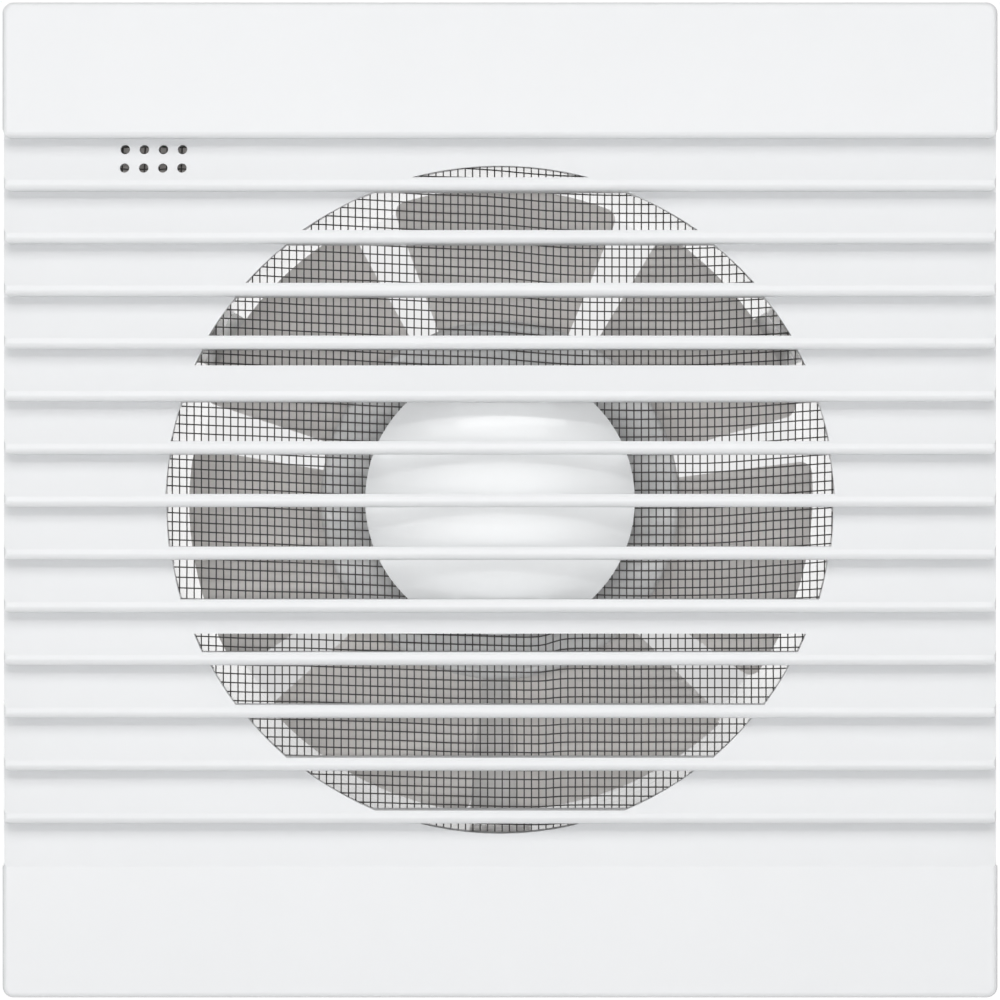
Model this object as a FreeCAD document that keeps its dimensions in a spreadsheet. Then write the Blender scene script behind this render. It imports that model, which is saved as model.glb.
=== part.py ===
import FreeCAD, Part
import math
import os
import Sketcher

os.makedirs("parts", exist_ok=True)
V = FreeCAD.Vector
doc = FreeCAD.newDocument("exhaust_fan")

# ---------------------------------------------------------------- sizes (mm)
# frame: origin on the fan axis in the wall plane, front towards -Y, +Z up
sheet = doc.addObject("Spreadsheet::Sheet", "Sizes")
SIZES = [
    # cover
    ("cover_side", 180.0), ("cover_round", 2.0), ("cover_rim", -0.6),
    ("lip_front", -40.0), ("recess", -36.2), ("cover_floor", -31.7),
    ("panel_inner", -38.0), ("cover_wall", 2.0), ("louvre_half", 89.8),
    ("slat_pitch", 9.54), ("slat_count", 13), ("lip_first", 55.94),
    ("lip_flat", 1.9), ("lip_round", 1.3), ("bar_high", 2.4), ("slope_wall", 1.8),
    ("panel_bottom_top", -66.2), ("edge_round", 1.0), ("shingle_round", 1.5),
    ("open_radius", 60.5), ("rib_up_top", 24.4), ("rib_low_bottom", -24.2),
    ("dome_recess_radius", 25.4), ("dome_recess", -34.8), ("dome_recess_low", -33.9), ("dome_recess_bars", -37.7),
    ("vent_x", -62.75), ("vent_z", 61.8), ("vent_pitch", 3.46), ("vent_radius", 0.86),
    ("post_at", 79.0), ("post_radius", 2.5), ("post_end", -13.0),
    # dome and screen
    ("dome_radius", 24.6), ("dome_edge", -31.6), ("dome_apex", -37.4), ("dome_wall", 1.6),
    ("screen_front", -29.3), ("screen_back", -29.0), ("screen_inner", 22.0), ("screen_outer", 64.5),
    ("frame_inner", 61.0), ("frame_outer", 66.5),
    # housing
    ("plate_half", 86.4), ("plate_front", -2.5), ("rim_front", -9.0), ("rim_wall", 1.6),
    ("tube_inner", 61.0), ("tube_outer", 62.3), ("spigot_end", 62.0), ("collar_front", -28.0),
    ("cup_inner", 28.6), ("cup_outer", 30.4), ("cup_front", -6.5), ("cup_floor", 10.5), ("cup_back", 12.5),
    ("strut_front", -6.5), ("strut_back", 8.0), ("strut_wide", 11.0),
    ("lead_slot_wide", 8.4), ("lead_angle", -60.0),
    ("socket_outer", 4.3), ("socket_inner", 2.58), ("socket_front", -20.0),
    ("screw_x", 78.0), ("screw_z", 48.0), ("wall_hole", 2.3),
    ("cable_x", -73.5), ("cable_z", 18.0), ("cable_hole", 5.0), ("clamp_z", 31.0), ("clamp_half", 7.0),
    # motor
    ("stator_radius", 28.5), ("yoke_inner", 22.6), ("stator_front", -10.0), ("stator_back", 4.0),
    ("pole_half", 4.0), ("bore_radius", 13.0), ("shoe_radius", 16.8), ("bolt_circle", 25.0), ("bolt_hole", 1.6),
    ("bolt_radius", 1.5), ("shield_front", -16.5), ("shield_wall", 1.5), ("shield_rim", 26.8), ("shield_back", 10.5),
    ("bush_outer", 5.0), ("bush_inner", 2.53), ("seat_outer", 7.0), ("shaft_radius", 2.5),
    ("rotor_radius", 12.6), ("rotor_front", -10.5), ("rotor_back", 4.5),
    ("ring_inner", 8.0), ("ring_outer", 12.3), ("ring_high", 3.0),
    ("shaft_front", -26.0), ("shaft_back", 14.0),
    # impeller
    ("hub_radius", 33.0), ("hub_front", -24.0), ("hub_wall", 1.8), ("hub_dish", 2.6), ("hub_back", -9.0), ("hub_boss", 6.0),
    ("boss_back", -20.2), ("tip_radius", 57.8), ("blade_count", 7), ("blade_wide", 42.6), ("blade_lead", 1.2),
    ("blade_front", -22.0), ("blade_back", -10.6), ("blade_thick", 1.7), ("blade_round", 2.2),
    # wiring
    ("lead_radius", 0.9), ("lead_offset", 2.5), ("lead_level", -4.2), ("lead_high", 6.5),
    ("block_x", -58.5), ("block_half", 8.0), ("block_low", 50.0), ("block_top", 60.5), ("block_front", -13.0),
    ("board_front", -10.0), ("board_back", -8.4), ("board_left", -72.0), ("board_right", -47.0),
    ("board_low", 63.0), ("board_high", 83.5),
]
for n, (alias, value) in enumerate(SIZES, start=1):
    sheet.set("A%d" % n, alias)
    sheet.set("B%d" % n, str(value))
    sheet.setAlias("B%d" % n, alias)
doc.recompute()


def v(alias):
    return float(sheet.get(alias))


# ---------------------------------------------------------------- helpers
nodes = []


def body(label):
    b = doc.addObject("PartDesign::Body", label)
    b.Label = label
    return b


def role(b, name):
    for f in b.Origin.OriginFeatures:
        if f.Role == name:
            return f


def sketch(b, name, plane, geos, offset=None):
    """geos: edges given in the sketch's own two axes, closed loops."""
    s = b.newObject("Sketcher::SketchObject", name)
    s.AttachmentSupport = [(role(b, plane), "")]
    s.MapMode = "FlatFace"
    if offset is not None:
        s.setExpression("AttachmentOffset.Base.z", offset)
    for g in geos:
        if g[0] == "circle":
            _, cx, cy, alias = g
            i = s.addGeometry(Part.Circle(V(cx, cy, 0), V(0, 0, 1), v(alias)))
            if abs(cx) < 1e-9 and abs(cy) < 1e-9:
                s.addConstraint(Sketcher.Constraint("Coincident", i, 3, -1, 1))
            c = s.addConstraint(Sketcher.Constraint("Radius", i, v(alias)))
            s.setExpression("Constraints[%d]" % c, "Sizes." + alias)
        elif g[0] == "poly":
            pts = [V(p[0], p[1], 0) for p in g[1]]
            first = None
            count = len(pts)
            ids = []
            for k in range(count):
                ids.append(s.addGeometry(Part.LineSegment(pts[k], pts[(k + 1) % count])))
            for k in range(count):
                s.addConstraint(Sketcher.Constraint("Coincident", ids[k], 2, ids[(k + 1) % count], 1))
        elif g[0] == "edges":
            for e in g[1]:
                s.addGeometry(e)
    return s


def arc3(a, m, c):
    return Part.ArcOfCircle(V(a[0], a[1], 0), V(m[0], m[1], 0), V(c[0], c[1], 0))


def seg(a, c):
    return Part.LineSegment(V(a[0], a[1], 0), V(c[0], c[1], 0))


def rect(x0, x1, z0, z1):
    return ("poly", [(x0, z0), (x1, z0), (x1, z1), (x0, z1)])


def turned(x0, x1, half, deg):
    """rectangle running outwards from x0 to x1 along the direction deg
    (clockwise from the top, seen from the front)."""
    dx, dz = math.sin(math.radians(deg)), math.cos(math.radians(deg))
    nx, nz = dz, -dx
    return ("poly", [(x0 * dx - half * nx, x0 * dz - half * nz), (x1 * dx - half * nx, x1 * dz - half * nz),
                     (x1 * dx + half * nx, x1 * dz + half * nz), (x0 * dx + half * nx, x0 * dz + half * nz)])


def S(text):
    """text formula over the sheet: words become sheet references."""
    out, word = "", ""
    for ch in text + " ":
        if ch.isalpha() or ch == "_":
            word += ch
        else:
            if word:
                out += "Sizes." + word
                word = ""
            out += ch
    return out.strip()


def pad_y(b, name, geos, back, front):
    s = sketch(b, name + "_outline", "XZ_Plane", geos, "-(%s)" % S(back))
    p = b.newObject("PartDesign::Pad", name)
    p.Profile = s
    p.setExpression("Length", "(%s) - (%s)" % (S(back), S(front)))
    before = b.Shape.Volume if b.Shape and not b.Shape.isNull() else 0.0
    doc.recompute()
    b.Tip = p
    if p.Shape.Volume <= before:
        raise RuntimeError("no material added by " + name)
    return p


def cut_y(b, name, geos, back, front):
    before = b.Shape.Volume
    s = sketch(b, name + "_outline", "XZ_Plane", geos, "-(%s)" % S(back))
    p = b.newObject("PartDesign::Pocket", name)
    p.Profile = s
    p.Reversed = True
    p.setExpression("Length", "(%s) - (%s)" % (S(back), S(front)))
    doc.recompute()
    b.Tip = p
    if p.Shape.Volume >= before - 1e-6:
        raise RuntimeError("nothing cut by " + name)
    return p


def cut_x(b, name, geos, length):
    before = b.Shape.Volume
    s = sketch(b, name + "_outline", "YZ_Plane", geos)
    p = b.newObject("PartDesign::Pocket", name)
    p.Profile = s
    p.SideType = "Symmetric"
    p.setExpression("Length", S(length))
    doc.recompute()
    b.Tip = p
    if p.Shape.Volume >= before - 1e-6:
        raise RuntimeError("nothing cut by " + name)
    return p


def row_down(b, name, feature, pitch, count):
    before = b.Shape.Volume
    r = b.newObject("PartDesign::LinearPattern", name)
    r.Originals = [feature]
    r.Direction = (role(b, "Z_Axis"), [""])
    r.Reversed = True
    r.setExpression("Length", "%s * (%s - 1)" % (S(pitch), S(count)))
    r.setExpression("Occurrences", S(count))
    doc.recompute()
    b.Tip = r
    if abs(r.Shape.Volume - before) < 1e-6:
        raise RuntimeError("row changed nothing: " + name)
    return r


def round_edges(b, name, pick, radius):
    base = b.Tip
    names = []
    for n, e in enumerate(base.Shape.Edges, start=1):
        if pick(e):
            names.append("Edge%d" % n)
    f = b.newObject("PartDesign::Fillet", name)
    f.Base = (base, names)
    f.setExpression("Radius", S(radius))
    doc.recompute()
    b.Tip = f
    if f.Shape.isNull() or "Invalid" in f.State:
        raise RuntimeError("rounding failed: " + name)
    return f


def turn_y(b, name, geos):
    s = sketch(b, name + "_outline", "XY_Plane", geos)
    r = b.newObject("PartDesign::Revolution", name)
    r.Profile = s
    r.ReferenceAxis = (role(b, "Y_Axis"), [""])
    r.Angle = 360.0
    doc.recompute()
    b.Tip = r
    return r


def made(label, shape):
    f = doc.addObject("Part::Feature", label)
    f.Label = label
    f.Shape = shape
    f.Placement = FreeCAD.Placement()
    return f


def cyl_y(r, y0, y1, x=0.0, z=0.0):
    return Part.makeCylinder(r, y1 - y0, V(x, y0, z), V(0, 1, 0))


def box(x0, x1, y0, y1, z0, z1):
    return Part.makeBox(x1 - x0, y1 - y0, z1 - z0, V(x0, y0, z0))


def about_y(shape, deg):
    """copy turned clockwise by deg as seen from the front."""
    c = shape.copy()
    c.rotate(V(0, 0, 0), V(0, 1, 0), deg)
    return c


def keep(obj):
    nodes.append(obj)
    return obj


# ---------------------------------------------------------------- front cover
yF, yR, floor = v("lip_front"), v("recess"), v("cover_floor")
pitch, z_first, flat = v("slat_pitch"), v("lip_first"), v("lip_flat")
lips = [z_first - pitch * k for k in range(int(v("slat_count")))]
half = v("cover_side") / 2.0
slope = (yR - yF) / (pitch - flat)          # depth gained per mm of height
cover = body("front_cover")
pad_y(cover, "cover_block", [rect(-half, half, -half, half)], "cover_rim", "lip_front")
round_edges(cover, "corner_rounding",
            lambda e: abs(e.BoundBox.XLength) < 1e-6 and abs(e.BoundBox.ZLength) < 1e-6, "cover_round")
round_edges(cover, "front_edge_rounding",
            lambda e: e.BoundBox.YLength < 1e-6 and abs(e.BoundBox.YMin - yF) < 1e-4, "edge_round")
before = cover.Shape.Volume
end_sketch = sketch(cover, "lip_end_outline", "XY_Plane", [("edges", [
    seg((sx * (half + 0.02), yR), (sx * (half - 0.30), yF + 0.6)),
    arc3((sx * (half - 0.30), yF + 0.6), (sx * (half - 0.49), yF + 0.16), (sx * (half - 0.90), yF - 0.02)),
    seg((sx * (half - 0.90), yF - 0.02), (sx * (half - 0.90), yF - 1.0)),
    seg((sx * (half - 0.90), yF - 1.0), (sx * (half + 2.0), yF - 1.0)),
    seg((sx * (half + 2.0), yF - 1.0), (sx * (half + 2.0), yR)),
    seg((sx * (half + 2.0), yR), (sx * (half + 0.02), yR))]) for sx in (1.0, -1.0)], S("lip_first + slat_pitch"))
ends = cover.newObject("PartDesign::Pocket", "lip_ends")
ends.Profile = end_sketch
ends.setExpression("Length", S("lip_first + slat_pitch - panel_bottom_top"))
doc.recompute()
cover.Tip = ends
if ends.Shape.Volume >= before - 1e-6:
    raise RuntimeError("lip ends not cut")
zt, zl = z_first + pitch, z_first
lr_ = v("lip_round")


def groove_edges(z_up, y_low, z_low):
    """sloping groove under a lip at z_up; the lip's own lower edge is rounded."""
    c = lr_ * (1.0 - math.sqrt(0.5)) * 0.93
    return [("edges", [seg((yR, z_up), (yF + lr_, z_up)),
                       arc3((yF + lr_, z_up), (yF + c, z_up + c), (yF, z_up + lr_)),
                       seg((yF, z_up + lr_), (yF - 0.5, z_up + lr_)),
                       seg((yF - 0.5, z_up + lr_), (y_low, z_low)), seg((y_low, z_low), (yR, z_up))])]


groove = cut_x(cover, "slat_groove", groove_edges(zt, yF - 0.5, zl + flat - 0.5 / slope), "cover_side + 4")
row_down(cover, "slat_row", groove, "slat_pitch", "slat_count")
zb = v("panel_bottom_top")
low = (yR - yF) / (lips[-1] - zb)
cut_x(cover, "bottom_slope", groove_edges(lips[-1], yF - 0.5, zb - 0.5 / low), "cover_side + 4")
wall_half = half - v("cover_wall")
cut_y(cover, "cavity", [rect(-wall_half, wall_half, -wall_half, wall_half)], "cover_rim", "cover_floor")
cut_y(cover, "panel_cavities", [rect(-wall_half + 0.5, wall_half - 0.5, z_first + pitch + 2.0, wall_half - 0.5),
                                rect(-wall_half + 0.5, wall_half - 0.5, -wall_half + 0.5, zb - 2.4)],
      "cover_floor", "panel_inner")
# hollow behind each slat, parallel to its slope
bar = v("bar_high")
push = v("slope_wall") * math.sqrt(1.0 + slope * slope)
y_at_bar = yF + (bar - flat) * slope + push
z_top = pitch - 0.8
y_top = yF + (z_top - flat) * slope + push
core = cut_x(cover, "slat_hollow",
             [("poly", [(floor + 0.2, zl + bar), (y_at_bar, zl + bar), (y_top, zl + z_top), (floor + 0.2, zl + z_top)])],
             "cover_side - 8")
row_down(cover, "slat_hollow_row", core, "slat_pitch", "slat_count")
# small rounded lower corners at the ends of each slat
xe, rr = v("louvre_half"), v("shingle_round")
z0 = z_first + pitch
mid = rr * (1.0 - math.sqrt(0.5)) * 0.94
corners = []
for sx in (1.0, -1.0):
    corners.append(("edges", [
        arc3((sx * (xe - rr), z0 - 0.04), (sx * (xe - mid), z0 + mid), (sx * (xe + 0.04), z0 + rr)),
        seg((sx * (xe + 0.04), z0 + rr), (sx * (xe + 0.7), z0 + rr)),
        seg((sx * (xe + 0.7), z0 + rr), (sx * (xe + 0.7), z0 - 0.04)),
        seg((sx * (xe + 0.7), z0 - 0.04), (sx * (xe - rr), z0 - 0.04))]))
shingle = cut_y(cover, "slat_corner", corners, "recess - 0.1", "lip_front - 0.5")
row_down(cover, "slat_corner_row", shingle, "slat_pitch", "slat_count + 1")
# round opening, slat by slat: the bars and the two wide ribs stay
ro = v("open_radius")
zones = [(None, lips[0] + bar)]
for k in range(12):
    top, bottom = lips[k], lips[k + 1] + bar
    if k == 3:
        bottom = v("rib_up_top")
    if k == 8:
        top = v("rib_low_bottom")
    zones.append((top, bottom))
zones.append((lips[12], None))
edges = []
for top, bottom in zones:
    if top is None:
        x = math.sqrt(ro * ro - bottom * bottom)
        edges += [seg((-x, bottom), (x, bottom)), arc3((x, bottom), (0, ro), (-x, bottom))]
    elif bottom is None:
        x = math.sqrt(ro * ro - top * top)
        edges += [seg((x, top), (-x, top)), arc3((-x, top), (0, -ro), (x, top))]
    else:
        xt, xb, zm = math.sqrt(ro * ro - top * top), math.sqrt(ro * ro - bottom * bottom), (top + bottom) / 2
        xm = math.sqrt(ro * ro - zm * zm)
        edges += [seg((-xb, bottom), (xb, bottom)), arc3((xb, bottom), (xm, zm), (xt, top)),
                  seg((xt, top), (-xt, top)), arc3((-xt, top), (-xm, zm), (-xb, bottom))]
cut_y(cover, "round_opening", [("edges", edges)], "cover_floor + 3", "lip_front - 1")
rr_ = v("dome_recess_radius")
zr = lips[8] + 0.4
xr = math.sqrt(rr_ * rr_ - zr * zr)
cut_y(cover, "dome_recess_cut", [("edges", [arc3((xr, zr), (0, rr_), (-xr, zr)), seg((-xr, zr), (xr, zr))])],
      "cover_floor + 3", "dome_recess")
cut_y(cover, "dome_recess_low_cut", [("edges", [arc3((-xr, zr), (0, -rr_), (xr, zr)), seg((xr, zr), (-xr, zr))])],
      "cover_floor + 3", "dome_recess_low")
# thin bars over the dome, between the two wide ribs
zt, zb = lips[4] - 0.3, lips[8] + bar + 0.3
xt, xb = math.sqrt(rr_ * rr_ - zt * zt), math.sqrt(rr_ * rr_ - zb * zb)
cut_y(cover, "dome_recess_bar_cut", [("edges", [arc3((xb, zb), (rr_, 0), (xt, zt)), seg((xt, zt), (-xt, zt)),
                                                arc3((-xt, zt), (-rr_, 0), (-xb, zb)), seg((-xb, zb), (xb, zb))])],
      "cover_floor + 3", "dome_recess_bars")
vents = []
for i in range(4):
    for j in range(2):
        vents.append(("circle", v("vent_x") + (i - 1.5) * v("vent_pitch"),
                      v("vent_z") + (0.5 - j) * v("vent_pitch"), "vent_radius"))
cut_y(cover, "sensor_holes", vents, "cover_floor + 3", "lip_front - 1")
pa = v("post_at")
pad_y(cover, "cover_posts", [("circle", sx * pa, sz * pa, "post_radius") for sx in (1, -1) for sz in (1, -1)],
      "post_end", "panel_inner - 0.3")
keep(cover)

# ---------------------------------------------------------------- dome, screen
dome = body("hub_dome")
rd, ye, ya, wd = v("dome_radius"), v("dome_edge"), v("dome_apex"), v("dome_wall")
big = (rd * rd + (ye - ya) ** 2) / (2 * (ye - ya))
yc = ya + big

ys = v("screen_front")
ri = rd - wd
yi = yc - math.sqrt((big - wd) ** 2 - ri ** 2)
xm_o = rd * 0.5
xm_i = ri * 0.5
turn_y(dome, "dome_turned", [("edges", [
    arc3((0, ya), (xm_o, yc - math.sqrt(big ** 2 - xm_o ** 2)), (rd, ye)),
    seg((rd, ye), (rd, ys)), seg((rd, ys), (ri, ys)),
    seg((ri, ys), (ri, yi)), arc3((ri, yi), (xm_i, yc - math.sqrt((big - wd) ** 2 - xm_i ** 2)), (0, ya + wd)),
    seg((0, ya + wd), (0, ya))])])
sheet.set("A%d" % (len(SIZES) + 1), "peg_radius")
sheet.set("B%d" % (len(SIZES) + 1), "1.0")
sheet.setAlias("B%d" % (len(SIZES) + 1), "peg_radius")
doc.recompute()
pad_y(dome, "dome_pegs", [("circle", sx * 8.0, z, "peg_radius") for sx in (1, -1)
                          for z in (lips[4] + bar / 2, lips[8] + bar / 2)], "dome_edge - 0.5", "dome_recess")
keep(dome)

screen = body("insect_screen")
pad_y(screen, "screen_disc", [("circle", 0, 0, "screen_outer"), ("circle", 0, 0, "screen_inner")],
      "screen_back", "screen_front")
keep(screen)

un = math.sqrt(1.0 + slope * slope)
uy, uz, ny_, nz_ = slope / un, 1.0 / un, 1.0 / un, -slope / un
by, bz = y_at_bar, zl + bar


def behind_slat(label, u0, u1, n0, n1, half_wide):
    """flat strip lying parallel to the first slat's slope, n0 to n1 behind its rear face."""
    pts = [V(v("vent_x") - half_wide, by + u * uy + n * ny_, bz + u * uz + n * nz_)
           for u, n in ((u0, n0), (u1, n0), (u1, n1), (u0, n1), (u0, n0))]
    return made(label, Part.Face(Part.makePolygon(pts)).extrude(V(2 * half_wide, 0, 0)))


keep(behind_slat("sensor_screen", 0.4, 6.9, 0.04, 0.56, 9.0))
keep(behind_slat("patch_holder", 1.1, 6.9, 0.56, 1.3, 9.6))

ring = body("screen_frame")
pad_y(ring, "frame_ring", [("circle", 0, 0, "frame_outer"), ("circle", 0, 0, "frame_inner")],
      "screen_front", "cover_floor")
round_edges(ring, "frame_rounding", lambda e: e.BoundBox.YLength < 1e-6 and e.BoundBox.XLength > 130
            and abs(e.BoundBox.YMin - v("screen_front")) < 1e-4, "lip_round * 0.5")
keep(ring)

# ---------------------------------------------------------------- housing
la = v("lead_angle")
house = body("housing")
ph = v("plate_half")
pad_y(house, "wall_plate", [rect(-ph, ph, -ph, ph)], "0 * plate_half", "plate_front")
pad_y(house, "plate_rim", [rect(-ph, ph, -ph, ph), rect(-ph + v("rim_wall"), ph - v("rim_wall"),
                                                      -ph + v("rim_wall"), ph - v("rim_wall"))],
      "plate_front + 0.2", "rim_front")
pad_y(house, "duct_tube", [("circle", 0, 0, "tube_outer")], "spigot_end", "collar_front")
cut_y(house, "duct_bore", [("circle", 0, 0, "tube_inner")], "spigot_end + 1", "collar_front - 1")
pad_y(house, "struts", [turned(v("cup_inner") + 0.6, v("tube_inner") + 0.8, v("strut_wide") / 2, la + 120 * k)
                        for k in range(3)], "strut_back", "strut_front")
pad_y(house, "motor_cup", [("circle", 0, 0, "cup_outer")], "cup_back", "cup_front")
cut_y(house, "motor_seat", [("circle", 0, 0, "cup_inner")], "cup_floor", "cup_front - 1")
sheet_row = len(SIZES) + 2
for extra, val in (("seat_hole", 7.6), ("post_boss", 2.4), ("pilot", 1.1), ("tube_step", 59.0)):
    sheet.set("A%d" % sheet_row, extra)
    sheet.set("B%d" % sheet_row, str(val))
    sheet.setAlias("B%d" % sheet_row, extra)
    sheet_row += 1
doc.recompute()
bolts_at = [la + 45 + 90 * k for k in range(4)]
bolt_xz = [(v("bolt_circle") * math.sin(math.radians(d)), v("bolt_circle") * math.cos(math.radians(d))) for d in bolts_at]
cut_y(house, "cup_holes", [("circle", 0, 0, "seat_hole")] + [("circle", x, z, "bolt_hole") for x, z in bolt_xz],
      "cup_back + 1", "cup_floor - 1")
cut_y(house, "strut_channels", [turned(v("cup_outer") - 0.4, v("tube_inner") - 0.4, v("lead_slot_wide") / 2, la + 120 * k)
                                for k in range(3)],
      "strut_back + 1", "strut_front + 1.2")
cut_y(house, "lead_way_in", [turned(v("cup_inner") - 1.5, v("cup_outer") + 1.0, v("lead_slot_wide") / 2, la)],
      "strut_back", "stator_back + 0.6")
cut_y(house, "lead_way_out", [turned(v("tube_inner") - 1.5, v("tube_outer") + 1.0, v("lead_slot_wide") / 2, la)],
      "plate_front - 0.6", "strut_front + 1.2")
pad_y(house, "post_sockets", [("circle", sx * pa, sz * pa, "socket_outer") for sx in (1, -1) for sz in (1, -1)],
      "plate_front + 0.2", "socket_front")
cut_y(house, "socket_bores", [("circle", sx * pa, sz * pa, "socket_inner") for sx in (1, -1) for sz in (1, -1)],
      "plate_front", "socket_front - 1")
board_posts = [(v("board_left") + 3, v("board_low") + 3), (v("board_right") - 3, v("board_low") + 3),
               (v("board_left") + 3, v("board_high") - 3), (v("board_right") - 3, v("board_high") - 3)]
pad_y(house, "board_posts", [("circle", x, z, "post_boss") for x, z in board_posts], "plate_front + 0.2", "board_back")
clamp_posts = [(v("cable_x") - v("clamp_half"), v("clamp_z")), (v("cable_x") + v("clamp_half"), v("clamp_z"))]
pad_y(house, "clamp_posts", [("circle", x, z, "post_boss") for x, z in clamp_posts], "plate_front + 0.2",
      "plate_front - 4")
cut_y(house, "screw_pilots", [("circle", x, z, "pilot") for x, z in board_posts + clamp_posts],
      "plate_front + 0.5", "board_back - 1")
sx_, sz_ = v("screw_x"), v("screw_z")
cut_y(house, "wall_screw_holes", [("circle", a * sx_, c * sz_, "wall_hole") for a in (1, -1) for c in (1, -1)],
      "1 + 0 * plate_half", "plate_front - 1")
cut_y(house, "cable_way", [("circle", v("cable_x"), v("cable_z"), "cable_hole")], "1 + 0 * plate_half", "plate_front - 1")
round_edges(house, "inlet_rounding", lambda e: e.BoundBox.YLength < 1e-6 and e.BoundBox.XLength > 115
            and abs(e.BoundBox.XLength - 2 * v("tube_inner")) < 1e-3
            and abs(e.BoundBox.YMin - v("collar_front")) < 1e-4, "lip_round * 0.7")
keep(house)

# ---------------------------------------------------------------- motor, fixed part
# lamination outline, one quarter at a time, poles along la + 90 k
bore, shoe, yoke, phalf = v("bore_radius"), v("shoe_radius"), v("yoke_inner"), v("pole_half")


def at(r, deg):
    return (r * math.sin(math.radians(deg)), r * math.cos(math.radians(deg)))


def side(r, sgn):
    return sgn * math.degrees(math.asin(phalf / r))


lam = []
for k in range(4):
    c = la + 90 * k
    path = [("p", at(bore, c - 34)), ("a", at(bore, c - 10), at(bore, c + 13.0)),
            ("l", at(15.2, c + 13.0)), ("a", at(15.2, c + 16.75), at(15.2, c + 20.5)), ("l", at(bore, c + 20.5)),
            ("a", at(bore, c + 27), at(bore, c + 34)), ("l", at(shoe, c + 34)),
            ("a", at(shoe, c + (34 + side(shoe, 1)) / 2), at(shoe, c + side(shoe, 1))),
            ("l", at(yoke, c + side(yoke, 1))), ("a", at(yoke, c + 45), at(yoke, c + 90 + side(yoke, -1))),
            ("l", at(shoe, c + 90 + side(shoe, -1))),
            ("a", at(shoe, c + 90 + (side(shoe, -1) - 34) / 2), at(shoe, c + 90 - 34)), ("l", at(bore, c + 90 - 34))]
    here = path[0][1]
    for step in path[1:]:
        if step[0] == "l":
            lam.append(seg(here, step[1]))
            here = step[1]
        else:
            lam.append(arc3(here, step[1], step[2]))
            here = step[2]
stator = body("stator_core")
pad_y(stator, "lamination_stack", [("circle", 0, 0, "stator_radius"), ("edges", lam)], "stator_back", "stator_front")
cut_y(stator, "stack_bolt_holes", [("circle", x, z, "bolt_hole") for x, z in bolt_xz], "stator_back + 1", "stator_front - 1")
keep(stator)

# one spool on the upward pole, then four round the axis
y0, y1 = v("stator_front"), v("stator_back")
spool = box(-phalf - 1.0, phalf + 1.0, y0 - 1.2, y1 + 1.2, 17.0, 21.2)
for za, zc in ((17.0, 17.8), (20.4, 21.2)):
    spool = spool.fuse(box(-phalf - 3.6, phalf + 3.6, y0 - 4.2, y1 + 4.2, za, zc))
spool = spool.cut(box(-phalf - 0.15, phalf + 0.15, y0 - 0.15, y1 + 0.15, 16.0, 23.0)).removeSplitter()
coil = box(-phalf - 3.2, phalf + 3.2, y0 - 3.8, y1 + 3.8, 17.85, 20.35)
coil = coil.makeFillet(2.2, [e for e in coil.Edges if e.BoundBox.ZLength > 2])
coil = coil.cut(box(-phalf - 1.05, phalf + 1.05, y0 - 1.25, y1 + 1.25, 17.0, 22.0))
frame_loop = box(-3.2, 3.2, y0 - 1.5, y1 + 1.5, 13.45, 14.65).cut(box(-2.0, 2.0, y0 - 0.2, y1 + 0.2, 13.0, 15.0))
keep(made("coil_bobbins", Part.makeCompound([about_y(spool, la + 90 * k) for k in range(4)])))
keep(made("coil_windings", Part.makeCompound([about_y(coil, la + 90 * k) for k in range(4)])))
keep(made("shading_rings", Part.makeCompound([about_y(frame_loop, la + 27.2 + 90 * k) for k in range(4)])))

fs = body("front_end_shield")
pad_y(fs, "shield_disc", [("circle", 0, 0, "stator_radius")], "stator_front", "shield_front")
cut_y(fs, "shield_hollow", [("circle", 0, 0, "shield_rim")], "stator_front", "shield_front + shield_wall")
pad_y(fs, "bearing_seat", [("circle", 0, 0, "seat_outer")], "shield_front + 4.5", "shield_front - 2.5")
cut_y(fs, "bearing_bore", [("circle", 0, 0, "bush_outer")], "shield_front + 5", "shield_front - 3")
windows = []
for k in range(4):
    c = la + 90 * k
    e = []
    r0, r1, w = 11.0, 21.0, 24
    e += [arc3(at(r0, c - w), at(r0, c), at(r0, c + w)), seg(at(r0, c + w), at(r1, c + w)),
          arc3(at(r1, c + w), at(r1, c), at(r1, c - w)), seg(at(r1, c - w), at(r0, c - w))]
    windows.append(("edges", e))
cut_y(fs, "shield_windows", windows, "shield_front + shield_wall + 0.1", "shield_front - 0.1")
cut_y(fs, "shield_bolt_holes", [("circle", x, z, "bolt_hole") for x, z in bolt_xz], "stator_front", "shield_front - 1")
keep(fs)
rs = body("rear_end_shield")
pad_y(rs, "shield_disc_rear", [("circle", 0, 0, "stator_radius")], "shield_back", "stator_back")
cut_y(rs, "shield_hollow_rear", [("circle", 0, 0, "shield_rim")], "shield_back - shield_wall", "stator_back - 1")
pad_y(rs, "bearing_seat_rear", [("circle", 0, 0, "seat_outer")], "shield_back + 2.5", "shield_back - 4.5")
cut_y(rs, "bearing_bore_rear", [("circle", 0, 0, "bush_outer")], "shield_back + 3", "shield_back - 5")
cut_y(rs, "shield_windows_rear", windows, "shield_back + 0.1", "shield_back - shield_wall - 0.1")
cut_y(rs, "shield_bolt_holes_rear", [("circle", x, z, "bolt_hole") for x, z in bolt_xz], "shield_back + 1", "stator_back")
cut_y(rs, "lead_notch", [turned(25.5, 30.0, v("lead_slot_wide") / 2, la)], "shield_back - shield_wall", "stator_back - 0.5")
keep(rs)
fb = body("front_bearing")
pad_y(fb, "bush_front", [("circle", 0, 0, "bush_outer"), ("circle", 0, 0, "bush_inner")],
      "shield_front + 4.5", "shield_front - 2.5")
keep(fb)
rb = body("rear_bearing")
pad_y(rb, "bush_rear", [("circle", 0, 0, "bush_outer"), ("circle", 0, 0, "bush_inner")],
      "shield_back + 2.5", "shield_back - 4.5")
keep(rb)


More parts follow.
